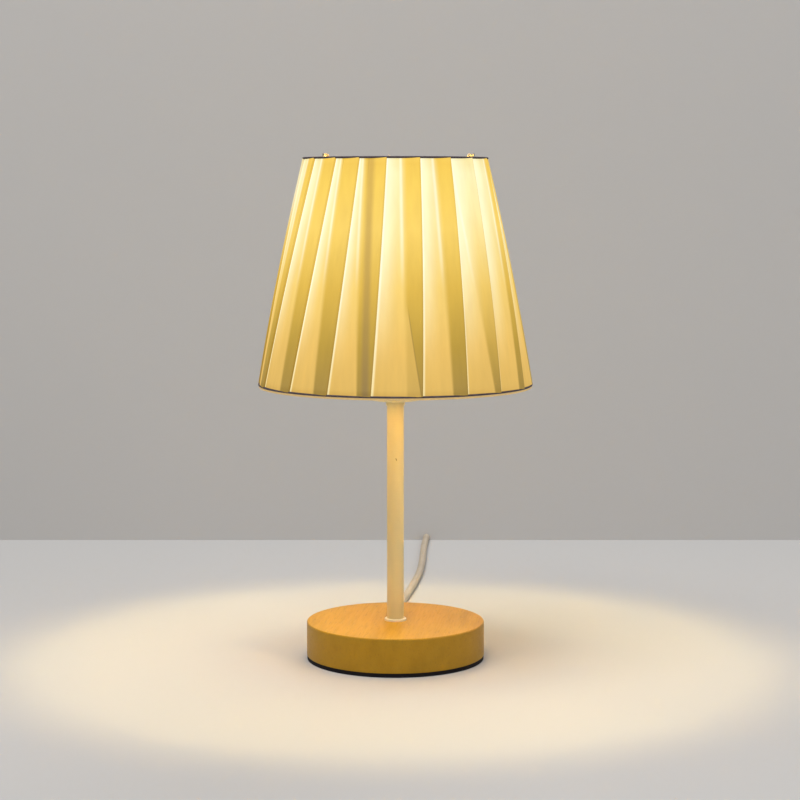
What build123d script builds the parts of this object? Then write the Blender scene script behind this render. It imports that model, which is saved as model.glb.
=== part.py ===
from build123d import *
import os
from math import acos, atan, cos, pi, radians, sin, sqrt, tan

# Wooden table lamp with a pleated empire shade, in millimetres.
# The lamp stands on z = 0, its axis is Z, and it is seen from -Y.

# Driving dimensions: base
base_diameter = 105.4
base_height = 20.0
base_edge_radius = 0.8
pad_thickness = 2.5
pad_inset = 0.2
recess_diameter = 32.0
base_roof = 7.0
washer_diameter = 24.0
washer_thickness = 1.5
nut_across_flats = 16.0
nut_height = 4.0

# Driving dimensions: stem and its rings
stem_diameter = 10.0
stem_wall = 1.4
stem_visible_length = 128.7
stem_end_past_nut = 1.0
stem_end_in_cap = 3.7
foot_ring_width = 1.5
foot_ring_height = 1.4
foot_ring_edge = 0.6
collar_width = 0.6
collar_height = 1.8
seat_clearance = 0.15

# Driving dimensions: lamp holder
holder_radius = 20.0
holder_wall = 1.8
holder_dome_height = 7.7
holder_shoulder_height = 1.3
holder_shoulder_inset = 6.0
holder_cap_height = 25.7
holder_ledge_width = 1.6
core_radius = 14.0
core_flange_height = 3.0
core_height = 7.0
shell_thread_radius = 19.6
shell_bore_clearance = 0.4
shell_height = 30.0
shell_thread_pitch = 3.0
shell_thread_depth = 0.5
thread_crest_start = 0.35
thread_crest_end = 0.65
flange_radius = 22.5
flange_height = 2.0
screw_shell_height = 26.0
screw_shell_wall = 0.5
terminal_size = 6.0
terminal_height = 5.0
terminal_offset = 8.0
terminal_screw_radius = 1.4
terminal_screw_head = 2.4
contact_radius = 4.0
contact_height = 2.0

# Driving dimensions: bulb
bulb_cap_radius = 13.0
bulb_cap_height = 24.0
bulb_thread_pitch = 3.6
bulb_thread_depth = 0.7
bulb_cap_wall = 0.7
bulb_radius = 17.5
bulb_glass_height = 68.0
bulb_belly_height = 22.0
bulb_tip_radius = 2.5
bulb_glass_wall = 0.8
bulb_neck_depth = 6.0
bulb_tip_height = 1.5
bulb_seat_gap = 0.2
insulator_height = 3.3
insulator_plug = 2.5
insulator_rim = 1.0
bulb_board_width = 16.2
filament_count = 4
filament_radius = 0.9
filament_circle = 5.0
filament_length = 32.0

# Driving dimensions: shade
shade_bottom_radius = 80.9
shade_top_radius = 53.9
shade_bulge = 1.2
shade_drop = 134.0
shade_rim_above_collar = 9.2
pleat_count = 18
pleat_step = 1.6
pleat_bottom_turn = 11.7
pleat_top_turn = 17.1
cloth_thickness = 0.8
liner_thickness = 0.6
ring_wire = 2.0
trim_thickness = 0.7
hem_web = 1.4
hem_inset = 0.3
hem_height = 2.8
top_trim_web = 0.8
top_trim_height = 2.0
shade_clearance = 0.2
arm_wire = 1.8
arm_count = 3
arm_turn = 4.6
arm_foot_height = 6.0
arm_hook_length = 2.2
arm_riser = 9.8
fitter_width = 5.6
fitter_thickness = 2.0
fitter_clearance = 1.0
retainer_width = 3.0
retainer_height = 5.5
retainer_clearance = 0.4
retainer_grips = 24
retainer_grip_radius = 0.6

# Driving dimensions: cord, bush, switch and plug
cord_diameter = 5.0
cord_axis_height = 7.5
cord_clearance = 0.1
bush_radius = 3.6
bush_depth = 12.0
bush_flange_radius = 4.6
bush_flange = 2.0
bush_tail = 21.3
bush_tip_wall = 0.8
wire_diameter = 2.0
wire_spacing = 2.6
wire_bend = 4.5
wire_tight_bend = 1.2
sheath_end = 12.0
switch_length = 60.0
switch_width = 24.0
switch_height = 16.0
switch_corner = 8.0
switch_wall = 1.8
switch_edge = 2.5
rocker_length = 20.0
rocker_width = 11.0
rocker_tilt = 8.0
rocker_gap = 0.5
rocker_pin_radius = 1.3
rocker_pivot_drop = 4.5
rocker_end_rise = 5.2
rocker_middle_rise = 3.6
rocker_nose = 2.5
rocker_end_base = 0.5
lug_width = 2.6
switch_screw_radius = 1.4
switch_screw_head = 2.6
switch_boss_radius = 3.2
switch_terminal = 6.0
switch_terminal_reach = 14.0
switch_terminal_offset = 3.0
leaf_end_gap = 1.0
core_swing = 10.0
link_length = 58.0
coil_pitch = 5.6
coil_outer_radius = 37.6
coil_loops_per_layer = 3
tie_thickness = 0.8
tie_width = 6.0
tie_gap = 0.3
plug_width = 35.0
plug_rear_width = 15.0
plug_length = 36.0
plug_thickness = 13.7
plug_edge = 3.0
plug_neck = 22.0
plug_neck_radius = 5.0
plug_neck_tip = 3.6
pin_diameter = 4.0
pin_length = 19.0
pin_root = 8.0
pin_root_step = 0.2
pin_spacing = 19.0
plug_base_clearance = 4.8
cut_margin = 1.0

# Levels and radii that follow from them
wood_bottom = pad_thickness
wood_top = wood_bottom + base_height
base_radius = base_diameter / 2
recess_top = wood_top - base_roof
nut_top = recess_top - washer_thickness
nut_bottom = nut_top - nut_height
stem_radius = stem_diameter / 2
stem_bottom = nut_bottom - stem_end_past_nut
collar_bottom = wood_top + stem_visible_length
cap_bottom = collar_bottom + collar_height
stem_top = cap_bottom + stem_end_in_cap
seat_radius = stem_radius + seat_clearance
cap_top = cap_bottom + holder_cap_height
cap_inside = holder_radius - holder_wall
core_bottom = cap_bottom + holder_dome_height + terminal_height + 2 * holder_wall
core_flange_top = core_bottom + core_flange_height
core_top = core_bottom + core_height
flange_top = cap_top + flange_height
shell_top = flange_top + shell_height - flange_height
shell_bore = core_radius + shell_bore_clearance
contact_top = core_top + contact_height
bulb_bottom = contact_top + bulb_seat_gap
insulator_bottom = bulb_bottom + bulb_tip_height
bulb_cap_bottom = insulator_bottom + insulator_height
bulb_cap_top = bulb_cap_bottom + bulb_cap_height
bulb_cap_inside = bulb_cap_radius - bulb_thread_depth - bulb_cap_wall
neck_radius = bulb_cap_inside - seat_clearance
neck_bottom = bulb_cap_top - bulb_neck_depth
rim_bottom = cap_bottom + shade_rim_above_collar
rim_top = rim_bottom + shade_drop
cloth_bottom = rim_bottom + hem_web + shade_clearance
cloth_top = rim_top - top_trim_web - shade_clearance
fitter_inside = shell_thread_radius + fitter_clearance
fitter_outside = fitter_inside + fitter_width
fitter_top = flange_top + fitter_thickness
retainer_inside = shell_thread_radius + retainer_clearance
cord_radius = cord_diameter / 2
wire_radius = wire_diameter / 2
bush_bore = cord_radius + cord_clearance
bush_tip = base_radius + bush_flange + bush_tail


# Shared shapes

def turned(*outline):
    """A body of revolution about Z from a closed outline of (radius, height) points."""
    return revolve(make_face(Polyline(*[(r, 0, z) for r, z in outline], close=True)), Axis.Z)


def ring(inside, outside, bottom, top):
    return turned((inside, bottom), (outside, bottom), (outside, top), (inside, top))


def rod(radius, bottom, top, x=0.0, y=0.0):
    upright = Cylinder(radius, top - bottom, align=(Align.CENTER, Align.CENTER, Align.MIN))
    return Pos(x, y, bottom) * upright


def rod_along_y(radius, start, end, x=0.0, z=0.0):
    return Pos(x, start, z) * Rot(-90, 0, 0) * rod(radius, 0, end - start)


def rod_along_x(radius, start, end, y=0.0, z=0.0):
    return Pos(start, y, z) * Rot(0, 90, 0) * rod(radius, 0, end - start)


def block(x0, x1, y0, y1, z0, z1):
    return Pos((x0 + x1) / 2, (y0 + y1) / 2, (z0 + z1) / 2) * Box(x1 - x0, y1 - y0, z1 - z0)


def ridged_outline(crest, depth, pitch, bottom, top):
    """Rounded-off thread crests between two heights, as (radius, height) points going up."""
    count = max(1, int((top - bottom) / pitch))
    step = (top - bottom) / count
    points = []
    for turn in range(count):
        low = bottom + turn * step
        points.append((crest - depth, low))
        points.append((crest, low + thread_crest_start * step))
        points.append((crest, low + thread_crest_end * step))
    points.append((crest - depth, top))
    return points


def swept(path, radius):
    start = Plane(origin=path @ 0, z_dir=path % 0)
    return sweep(start * Circle(radius), path=path)


def wire_path(points, bend):
    return FilletPolyline(*points, radius=bend)


# Base and stem

def make_base_block():
    body = turned(
        (recess_diameter / 2, wood_bottom),
        (base_radius, wood_bottom),
        (base_radius, wood_top),
        (seat_radius, wood_top),
        (seat_radius, recess_top),
        (recess_diameter / 2, recess_top),
    )
    rim = body.edges().filter_by(GeomType.CIRCLE).group_by(Axis.Z)[-1].sort_by(SortBy.RADIUS)[-1]
    body = fillet(rim, base_edge_radius)
    cord_way = rod_along_y(bush_bore, 0, base_radius, z=cord_axis_height)
    bush_seat = rod_along_y(bush_radius + seat_clearance, base_radius - bush_depth, base_radius + bush_flange,
                            z=cord_axis_height)
    return body - cord_way - bush_seat


def make_foot_ring():
    body = ring(seat_radius, stem_radius + foot_ring_width, wood_top, wood_top + foot_ring_height)
    rim = body.edges().filter_by(GeomType.CIRCLE).group_by(Axis.Z)[-1].sort_by(SortBy.RADIUS)[-1]
    return fillet(rim, foot_ring_edge)


def make_stem_nut():
    hexagon = RegularPolygon(nut_across_flats / 2, 6, major_radius=False)
    nut = Pos(0, 0, nut_bottom) * extrude(hexagon, nut_height)
    return nut - rod(seat_radius, nut_bottom, nut_top)


def make_cord_bush():
    outline = [
        (bush_bore, 0),
        (bush_radius, 0),
        (bush_radius, bush_depth),
        (bush_flange_radius, bush_depth),
        (bush_flange_radius, bush_depth + bush_flange),
        (bush_radius + bush_tip_wall, bush_depth + bush_flange),
        (bush_bore + bush_tip_wall, bush_depth + bush_flange + bush_tail),
        (bush_bore, bush_depth + bush_flange + bush_tail),
    ]
    return Pos(0, base_radius - bush_depth, cord_axis_height) * Rot(-90, 0, 0) * turned(*outline)


def make_inner_wire(side):
    x_low = side * wire_spacing / 2
    x_high = side * terminal_offset
    terminal_bottom = core_bottom - terminal_height
    points = [
        (x_low, sheath_end, cord_axis_height),
        (x_low, 0, cord_axis_height),
        (x_low, 0, stem_top - seat_clearance),
        (x_high, 0, terminal_bottom - wire_diameter - holder_wall),
        (x_high, 0, terminal_bottom),
    ]
    return swept(wire_path(points, [wire_bend, wire_diameter, wire_tight_bend]), wire_radius)


# Lamp holder

def make_holder_cap():
    skirt_bottom = cap_bottom + holder_dome_height
    shoulder = (holder_radius - holder_shoulder_inset, cap_bottom + holder_shoulder_height)
    outer = [
        Line((seat_radius, 0, cap_bottom), (shoulder[0], 0, shoulder[1])),
        TangentArc((shoulder[0], 0, shoulder[1]), (holder_radius, 0, skirt_bottom),
                   tangent=(shoulder[0] - seat_radius, 0, shoulder[1] - cap_bottom)),
    ]
    ledge = cap_inside - holder_ledge_width
    inner = Polyline(
        (holder_radius, 0, skirt_bottom),
        (holder_radius, 0, cap_top),
        (cap_inside, 0, cap_top),
        (cap_inside, 0, core_bottom),
        (ledge, 0, core_bottom),
        (ledge, 0, skirt_bottom + holder_wall),
        (shoulder[0] - holder_wall, 0, shoulder[1] + holder_wall),
        (seat_radius, 0, cap_bottom + holder_wall),
        (seat_radius, 0, cap_bottom),
    )
    return revolve(make_face([*outer, *inner.edges()]), Axis.Z)


def make_holder_core():
    flange = rod(cap_inside - seat_clearance, core_bottom, core_flange_top)
    return flange + rod(core_radius, core_bottom, core_top)


def make_holder_shell():
    spigot = cap_inside - seat_clearance
    outline = [
        (shell_bore, core_flange_top),
        (spigot, core_flange_top),
        (spigot, cap_top),
        (flange_radius, cap_top),
        (flange_radius, flange_top),
    ]
    thread = ridged_outline(shell_thread_radius, shell_thread_depth, shell_thread_pitch, flange_top, shell_top)
    return turned(*outline, *thread, (shell_bore, shell_top))


def make_terminals():
    blocks = []
    screws = []
    half = terminal_size / 2
    for side in (-1, 1):
        face = side * (terminal_offset + half)
        middle = core_bottom - terminal_height / 2
        hole_end = side * terminal_offset
        hole = rod_along_x(terminal_screw_radius + seat_clearance, min(face, hole_end), max(face, hole_end),
                           z=middle)
        blocks.append(block(side * terminal_offset - half, side * terminal_offset + half, -half, half,
                            core_bottom - terminal_height, core_bottom) - hole)
        shank_end = hole_end + side * seat_clearance
        shank = rod_along_x(terminal_screw_radius, min(face, shank_end), max(face, shank_end), z=middle)
        head_end = face + side * terminal_screw_radius
        head = rod_along_x(terminal_screw_head, min(face, head_end), max(face, head_end), z=middle)
        screws.append(shank + head)
    return Compound(blocks), Compound(screws)


def make_centre_contact():
    tongue = contact_height / 2
    return rod(contact_radius, core_top, core_top + tongue) + rod(contact_radius / 2, core_top, contact_top)


# Bulb

def make_bulb_cap():
    collar = bulb_cap_top - bulb_neck_depth
    outline = ridged_outline(bulb_cap_radius, bulb_thread_depth, bulb_thread_pitch, bulb_cap_bottom, collar)
    crown = bulb_cap_radius - bulb_thread_depth / 2
    return turned(
        (bulb_cap_inside, bulb_cap_bottom),
        *outline,
        (crown, collar),
        (crown, bulb_cap_top),
        (bulb_cap_inside, bulb_cap_top),
    )


def make_bulb_insulator():
    plug_radius = bulb_cap_inside - seat_clearance
    return turned(
        (0, insulator_bottom),
        (contact_radius + insulator_rim, insulator_bottom),
        (plug_radius - insulator_rim, bulb_cap_bottom),
        (plug_radius, bulb_cap_bottom),
        (plug_radius, bulb_cap_bottom + insulator_plug),
        (0, bulb_cap_bottom + insulator_plug),
    )


def glass_body(inset):
    """Candle-shaped glass, drawn in by the inset: a pointed arch over its widest level, with a round tip."""
    neck = neck_radius - inset
    widest = bulb_radius - inset
    tip = bulb_tip_radius - inset / 2
    base = bulb_cap_top
    belly = base + bulb_belly_height
    rise = bulb_glass_height - bulb_belly_height - inset
    sweep_radius = (widest ** 2 + rise ** 2) / (2 * widest)
    lean = acos((tip + sweep_radius - widest) / sweep_radius)
    tip_bottom = belly + sweep_radius * sin(lean)
    tip_top = tip_bottom + tip * (1 - sin(lean)) / cos(lean)
    edges = [
        Line((0, 0, neck_bottom), (neck, 0, neck_bottom)),
        Line((neck, 0, neck_bottom), (neck, 0, base)),
        TangentArc((widest, 0, belly), (neck, 0, base), tangent=(0, 0, -1)),
        TangentArc((widest, 0, belly), (tip, 0, tip_bottom), tangent=(0, 0, 1)),
        TangentArc((tip, 0, tip_bottom), (0, 0, tip_top), tangent=(-sin(lean), 0, cos(lean))),
        Line((0, 0, tip_top), (0, 0, neck_bottom)),
    ]
    return revolve(make_face(edges), Axis.Z)


def make_bulb_mount():
    flare = neck_radius - bulb_glass_wall - seat_clearance
    pillar_top = bulb_cap_top + bulb_glass_height / 4
    star_top = pillar_top + filament_length
    arm = filament_circle + filament_radius
    mount = rod(flare, neck_bottom, neck_bottom + bulb_cap_wall)
    mount += rod(filament_circle / 2, neck_bottom, pillar_top)
    mount += rod(filament_radius, neck_bottom, star_top)
    for level in (pillar_top - bulb_cap_wall, star_top):
        for turn in range(filament_count):
            spoke = block(0, arm, -filament_radius, filament_radius, level, level + bulb_cap_wall)
            mount += Rot(0, 0, turn * 360 / filament_count) * spoke
    return mount


def make_bulb_filaments():
    pillar_top = bulb_cap_top + bulb_glass_height / 4
    rods = []
    for turn in range(filament_count):
        stick = rod(filament_radius, pillar_top, pillar_top + filament_length, x=filament_circle)
        rods.append(Rot(0, 0, turn * 360 / filament_count) * stick)
    return Compound(rods)


def make_bulb_driver():
    floor = bulb_cap_bottom + insulator_plug
    height = neck_bottom - floor - bulb_glass_wall
    half_width = bulb_board_width / 2
    board = block(-half_width, half_width, -bulb_glass_wall, bulb_glass_wall, floor, floor + height)
    can_radius = bulb_cap_inside / 4
    return board + rod(can_radius, floor + height / 4, floor + 3 * height / 4, y=can_radius)


# Shade

def fold_radius(z):
    """Radius of the pleats' outer folds at a height: a straight cone with a slight belly."""
    share = (z - rim_bottom) / shade_drop
    straight = shade_bottom_radius + share * (shade_top_radius - shade_bottom_radius)
    return straight + shade_bulge * 4 * share * (1 - share)


def on_shade(radius, turn, z):
    """A point at an azimuth in degrees, counted from the front towards +X."""
    return (radius * sin(radians(turn)), -radius * cos(radians(turn)), z)


def pleat_section(z):
    """One level of the pleated cloth: panels that rise to a fold and step down to the next."""
    share = (z - rim_bottom) / shade_drop
    first = pleat_bottom_turn + share * (pleat_top_turn - pleat_bottom_turn)
    pitch = 360 / pleat_count
    high = fold_radius(z)
    low = high - pleat_step
    edges = []
    for pleat in range(pleat_count):
        start = first + pleat * pitch
        end = start + pitch
        valley = on_shade(low, start, z)
        fold = on_shade(high, end, z)
        middle = on_shade((low + high) / 2, (start + end) / 2, z)
        edges.append(ThreePointArc(valley, middle, fold))
        edges.append(Line(fold, on_shade(low, end, z)))
    return make_face(edges)


def cone_points(offset, bottom, top):
    """The shade's profile drawn in by an offset, going up."""
    levels = [bottom, (rim_bottom + rim_top) / 2, top]
    return [(fold_radius(z) - offset, z) for z in levels]


cloth_inset = pleat_step + cloth_thickness
liner_outset = cloth_inset + shade_clearance
liner_inset = liner_outset + liner_thickness


def make_shade_pleats():
    levels = [cloth_bottom, (rim_bottom + rim_top) / 2, cloth_top]
    cloth = loft([pleat_section(z) for z in levels], ruled=True)
    hollow = cone_points(cloth_inset, cloth_bottom, cloth_top)
    return cloth - turned((0, cloth_bottom), *hollow, (0, cloth_top))


def make_shade_liner():
    outer = cone_points(liner_outset, cloth_bottom, cloth_top)
    inner = cone_points(liner_inset, cloth_bottom, cloth_top)
    return turned(*outer, *reversed(inner))


def make_wire_ring(z):
    radius = fold_radius(z) - liner_inset - shade_clearance - ring_wire / 2
    return Pos(0, 0, z) * Torus(radius, ring_wire / 2)


trim_inset = liner_inset + ring_wire + 2 * shade_clearance


def trim_outline(edge, web_end, leg_end):
    """An L-shaped trim: its web covers the ends of the cloth, liner and wire ring, its leg stands inside them."""
    return [
        (fold_radius(edge) - hem_inset, edge),
        (fold_radius(web_end) - hem_inset, web_end),
        (fold_radius(web_end) - trim_inset, web_end),
        (fold_radius(leg_end) - trim_inset, leg_end),
        (fold_radius(leg_end) - trim_inset - trim_thickness, leg_end),
        (fold_radius(edge) - trim_inset - trim_thickness, edge),
    ]


def make_bottom_trim():
    return turned(*trim_outline(rim_bottom, rim_bottom + hem_web, rim_bottom + hem_height))


def make_top_trim():
    return turned(*trim_outline(rim_top, rim_top - top_trim_web, rim_top - top_trim_height))


def make_shade_arm(turn):
    """A wire from the fitter ring up to the top trim, which it hooks over with a close bend."""
    bend = arm_wire / 2 + shade_clearance
    edge = fold_radius(rim_top) - trim_inset - trim_thickness
    foot = fitter_outside - arm_wire / 2 - shade_clearance
    riser = edge - bend
    hook = rim_top + bend
    points = [
        (foot, 0, fitter_top),
        (foot, 0, fitter_top + arm_foot_height),
        (riser, 0, hook - arm_riser),
        (riser, 0, hook),
        (riser + bend + arm_hook_length, 0, hook),
    ]
    wire = swept(FilletPolyline(*points, radius=[2 * arm_foot_height, 2 * arm_riser, bend]), arm_wire / 2)
    return Rot(0, 0, turn) * wire


def make_fitter_ring():
    return ring(fitter_inside, fitter_outside, flange_top, fitter_top)


def make_retaining_ring():
    outside = retainer_inside + retainer_width
    body = ring(retainer_inside, outside, fitter_top, fitter_top + retainer_height)
    grip = rod(retainer_grip_radius, fitter_top - cut_margin, fitter_top + retainer_height + cut_margin, x=outside)
    for turn in range(retainer_grips):
        body -= Rot(0, 0, turn * 360 / retainer_grips) * grip
    return body


# Cord: the route of its free run, in plain view, chosen by hand from the exit
cord_floor = cord_radius
switch_x = 28.5
switch_axis = switch_height / 2
run_route = [
    (0.0, bush_tip, cord_axis_height),
    (0.0, bush_tip + 24, cord_axis_height),
    (1.8, bush_tip + 54, cord_floor),
    (7.0, bush_tip + 96, cord_floor),
    (13.0, bush_tip + 141, cord_floor),
    (17.6, bush_tip + 188, cord_floor),
    (19.6, bush_tip + 235, cord_floor),
    (21.0, bush_tip + 282, cord_floor),
    (23.4, bush_tip + 328, cord_floor),
    (26.6, bush_tip + 364, cord_floor),
    (switch_x, bush_tip + 391, switch_axis),
    (switch_x, bush_tip + 409, switch_axis),
]
switch_front = run_route[-1][1]
switch_back = switch_front + switch_length
switch_middle = (switch_front + switch_back) / 2

# The coil lies on its tie, two layers high, and starts where the link reaches it
coil_low = tie_thickness + tie_gap + cord_radius
coil_start = (switch_x, switch_back + link_length + cord_diameter, coil_low)
link_route = [
    (switch_x, switch_back, switch_axis),
    (switch_x, switch_back + 16, switch_axis),
    (switch_x, switch_back + 40, coil_low),
    (switch_x, coil_start[1] - cord_diameter, coil_low),
]
spiral_rate = coil_pitch / (2 * pi)
coil_lead = atan(spiral_rate / coil_outer_radius)
spiral_angle = 2 * pi * coil_loops_per_layer + coil_lead
coil_inner_radius = coil_outer_radius - spiral_rate * spiral_angle
coil_centre = Vector(coil_start[0] - coil_outer_radius * cos(coil_lead),
                     coil_start[1] + coil_outer_radius * sin(coil_lead), 0)


def coil_place(angle):
    """Point and direction of the coil: in on the lower layer, up in a half turn, out on the upper."""
    if angle <= spiral_angle:
        radius, slope = coil_outer_radius - spiral_rate * angle, -spiral_rate
        height, climb = coil_low, 0.0
    elif angle <= spiral_angle + pi:
        turn = angle - spiral_angle
        share = turn / pi
        radius = coil_inner_radius - spiral_rate * turn * (1 - share)
        slope = spiral_rate * (2 * share - 1)
        height = coil_low + coil_pitch * share * share * (3 - 2 * share)
        climb = coil_pitch * 6 * share * (1 - share) / pi
    else:
        radius, slope = coil_inner_radius + spiral_rate * (angle - spiral_angle - pi), spiral_rate
        height, climb = coil_low + coil_pitch, 0.0
    ray = angle - coil_lead
    point = coil_centre + Vector(radius * cos(ray), radius * sin(ray), height)
    direction = Vector(slope * cos(ray) - radius * sin(ray), slope * sin(ray) + radius * cos(ray), climb)
    return point, direction.normalized()


def biarc(start, start_direction, end, end_direction):
    """Two arcs that meet smoothly between two points with given directions."""
    span = end - start
    total = start_direction + end_direction
    spare = 4 - total.dot(total)
    reach = (sqrt(span.dot(total) ** 2 + spare * span.dot(span)) - span.dot(total)) / spare
    first = start + start_direction * reach
    second = end - end_direction * reach
    joint = (first + second) * 0.5
    return [
        TangentArc(start, joint, tangent=start_direction),
        TangentArc(joint, end, tangent=(second - first).normalized()),
    ]


def coil_angles():
    """Quarter turns along the two spirals and the half turn between them."""
    quarters = 4 * coil_loops_per_layer
    angles = [spiral_angle * step / quarters for step in range(quarters)]
    angles += [spiral_angle, spiral_angle + pi / 2]
    angles += [spiral_angle + pi + spiral_angle * step / quarters for step in range(quarters + 1)]
    return angles


def make_coil_path():
    places = [coil_place(angle) for angle in coil_angles()]
    first_point, first_direction = places[0]
    last_point, last_direction = places[-1]
    edges = [Line(first_point - first_direction * cord_diameter, first_point)]
    for (start, start_direction), (end, end_direction) in zip(places, places[1:]):
        edges += biarc(start, start_direction, end, end_direction)
    edges.append(Line(last_point, last_point + last_direction * cord_diameter))
    return Wire(edges)


coil_path = make_coil_path()
coil_end = coil_path @ 1
plug_axis = plug_thickness / 2

# The plug lies beside the line of the base, so that a socket reaches both its pins
plug_x = -(base_radius + plug_base_clearance + pin_spacing / 2)
tail_route = [
    (coil_end.X, coil_end.Y, coil_end.Z),
    (coil_end.X, coil_end.Y - 14, coil_end.Z),
    ((coil_end.X + plug_x) / 2, coil_end.Y - 38, coil_end.Z - 3.8),
    (plug_x, coil_end.Y - 62, plug_axis),
    (plug_x, coil_end.Y - 76, plug_axis),
]


def route_radii(points):
    """The largest bend at each corner: 0.45 of the shorter run over the tangent of half the turn."""
    radii = []
    for before, corner, after in zip(points, points[1:], points[2:]):
        into = Vector(*corner) - Vector(*before)
        out = Vector(*after) - Vector(*corner)
        turn = radians(into.get_angle(out))
        radii.append(0.45 * min(into.length, out.length) / tan(turn / 2))
    return radii


def report_tube(name, tube, path, radii):
    section = pi * cord_radius ** 2 * path.length
    print(f"{name}: length {path.length:.1f}, volume {tube.volume / section:.4f} of section times length,",
          "bends", " ".join(f"{radius:.0f}" for radius in radii))


def make_cord_tube(name, points):
    radii = route_radii(points)
    path = FilletPolyline(*points, radius=radii)
    tube = swept(path, cord_radius)
    report_tube(name, tube, path, radii)
    return tube


def least_gap(path):
    """Least gap of the coil to itself, on points two millimetres apart."""
    count = int(path.length / 2)
    points = [path @ (step / count) for step in range(count + 1)]
    apart = int(4 * cord_diameter / 2)
    nearest = min(
        (points[i] - points[j]).length
        for i in range(len(points))
        for j in range(i + apart, len(points))
    )
    return nearest - cord_diameter


def make_cord_coil():
    coil = swept(coil_path, cord_radius)
    report_tube("cord_coil", coil, coil_path, [coil_outer_radius, coil_inner_radius])
    print(f"cord_coil: least gap to itself {least_gap(coil_path):.2f}")
    return coil


def make_coil_tie():
    """A flat band round all the turns, on the side away from the cord's two ends."""
    inner = coil_inner_radius - spiral_rate * pi / 4 - cord_radius - tie_gap
    outer = coil_outer_radius + cord_radius + tie_gap
    bottom = coil_low - cord_radius - tie_gap
    top = coil_low + coil_pitch + cord_radius + tie_gap
    corner = cord_radius / 2
    window = RectangleRounded(outer - inner, top - bottom, corner)
    band = RectangleRounded(outer - inner + 2 * tie_thickness, top - bottom + 2 * tie_thickness,
                            corner + tie_thickness)
    across = Plane(origin=(coil_centre.X, coil_centre.Y + (inner + outer) / 2, (bottom + top) / 2),
                   x_dir=(0, 1, 0), z_dir=(1, 0, 0))
    return extrude(across * (band - window), tie_width / 2, both=True)


# In-line switch

pivot = Vector(switch_x, switch_middle, switch_height - rocker_pivot_drop)
rocker_reach = (rocker_length / 2) * cos(radians(rocker_tilt)) + rocker_end_rise * sin(radians(rocker_tilt))
screw_places = [
    (switch_x + switch_width / 2 - switch_boss_radius - switch_wall / 2, switch_front + switch_corner),
    (switch_x - switch_width / 2 + switch_boss_radius + switch_wall / 2, switch_back - switch_corner),
]


def switch_shape(inset, bottom, top):
    plan = RectangleRounded(switch_width - 2 * inset, switch_length - 2 * inset, switch_corner - inset)
    return Pos(switch_x, switch_middle, bottom) * extrude(plan, top - bottom)


def cord_entries():
    return rod_along_y(bush_bore, switch_front - cut_margin, switch_back + cut_margin, x=switch_x, z=switch_axis)


def make_switch_lower():
    shell = switch_shape(0, 0, switch_axis) - switch_shape(switch_wall, switch_wall, switch_axis)
    shell -= cord_entries()
    for x, y in screw_places:
        shell += rod(switch_boss_radius, 0, switch_axis, x, y)
        shell -= rod(switch_screw_radius + seat_clearance, 0, switch_axis, x, y)
        shell -= rod(switch_screw_head + seat_clearance, 0, switch_wall, x, y)
    return shell


def make_switch_upper():
    roof = switch_height - switch_wall
    outside = switch_shape(0, switch_axis, switch_height)
    outside = fillet(outside.faces().sort_by(Axis.Z)[-1].edges(), switch_edge)
    shell = outside - switch_shape(switch_wall, switch_axis, roof)
    shell -= cord_entries()
    window_x = rocker_width / 2 + rocker_gap
    window_y = rocker_reach + rocker_gap
    shell -= block(switch_x - window_x, switch_x + window_x, pivot.Y - window_y, pivot.Y + window_y,
                   switch_axis, switch_height + cut_margin)
    lug_drop = 2 * rocker_pin_radius
    for side in (-1, 1):
        near = switch_x + side * window_x
        far = near + side * lug_width
        shell += block(min(near, far), max(near, far), pivot.Y - lug_drop, pivot.Y + lug_drop,
                       pivot.Z - lug_drop, roof)
    shell -= rod_along_x(rocker_pin_radius + seat_clearance, switch_x - window_x - lug_width,
                         switch_x + window_x + lug_width, y=pivot.Y, z=pivot.Z)
    for x, y in screw_places:
        post = rod(switch_boss_radius, switch_axis, roof, x, y) & switch_shape(switch_wall / 2, 0, switch_height)
        shell += post
        shell -= rod(switch_screw_radius + seat_clearance, switch_axis, roof - switch_wall, x, y)
    return shell


def make_rocker():
    half = rocker_length / 2
    outline = Polyline(
        (0, -half, rocker_end_rise),
        (0, 0, rocker_middle_rise),
        (0, half, rocker_end_rise),
        (0, half, rocker_end_base),
        (0, rocker_nose, -rocker_nose),
        (0, -rocker_nose, -rocker_nose),
        (0, -half, rocker_end_base),
        close=True,
    )
    body = extrude(make_face(outline), rocker_width / 2, both=True, dir=(1, 0, 0))
    pin_end = rocker_width / 2 + rocker_gap + lug_width - seat_clearance
    body += rod_along_x(rocker_pin_radius, -pin_end, pin_end)
    return Pos(*pivot) * Rot(-rocker_tilt, 0, 0) * body


terminal_x = switch_x + switch_terminal_offset


def make_switch_contacts():
    """Two terminal blocks on the floor, and a leaf from one of them under the rocker's nose."""
    half = switch_terminal / 2
    top = switch_wall + terminal_height
    blocks = []
    for side in (-1, 1):
        middle = switch_middle + side * switch_terminal_reach
        blocks.append(block(terminal_x - half, terminal_x + half, middle - half, middle + half, switch_wall, top))
    nose = rocker_nose * (cos(radians(rocker_tilt)) + sin(radians(rocker_tilt)))
    leaf_top = pivot.Z - nose - 2 * seat_clearance
    leaf_start = switch_middle - switch_terminal_reach - half
    leaf_end = switch_middle + switch_terminal_reach - half - leaf_end_gap
    leaf = block(terminal_x - half / 2, terminal_x + half / 2, leaf_start, leaf_end, top, top + screw_shell_wall)
    leaf += block(terminal_x - half / 2, terminal_x + half / 2, switch_middle - half / 2,
                  switch_middle + half / 2, top, leaf_top)
    return Compound([blocks[0] + leaf, blocks[1]])


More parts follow.
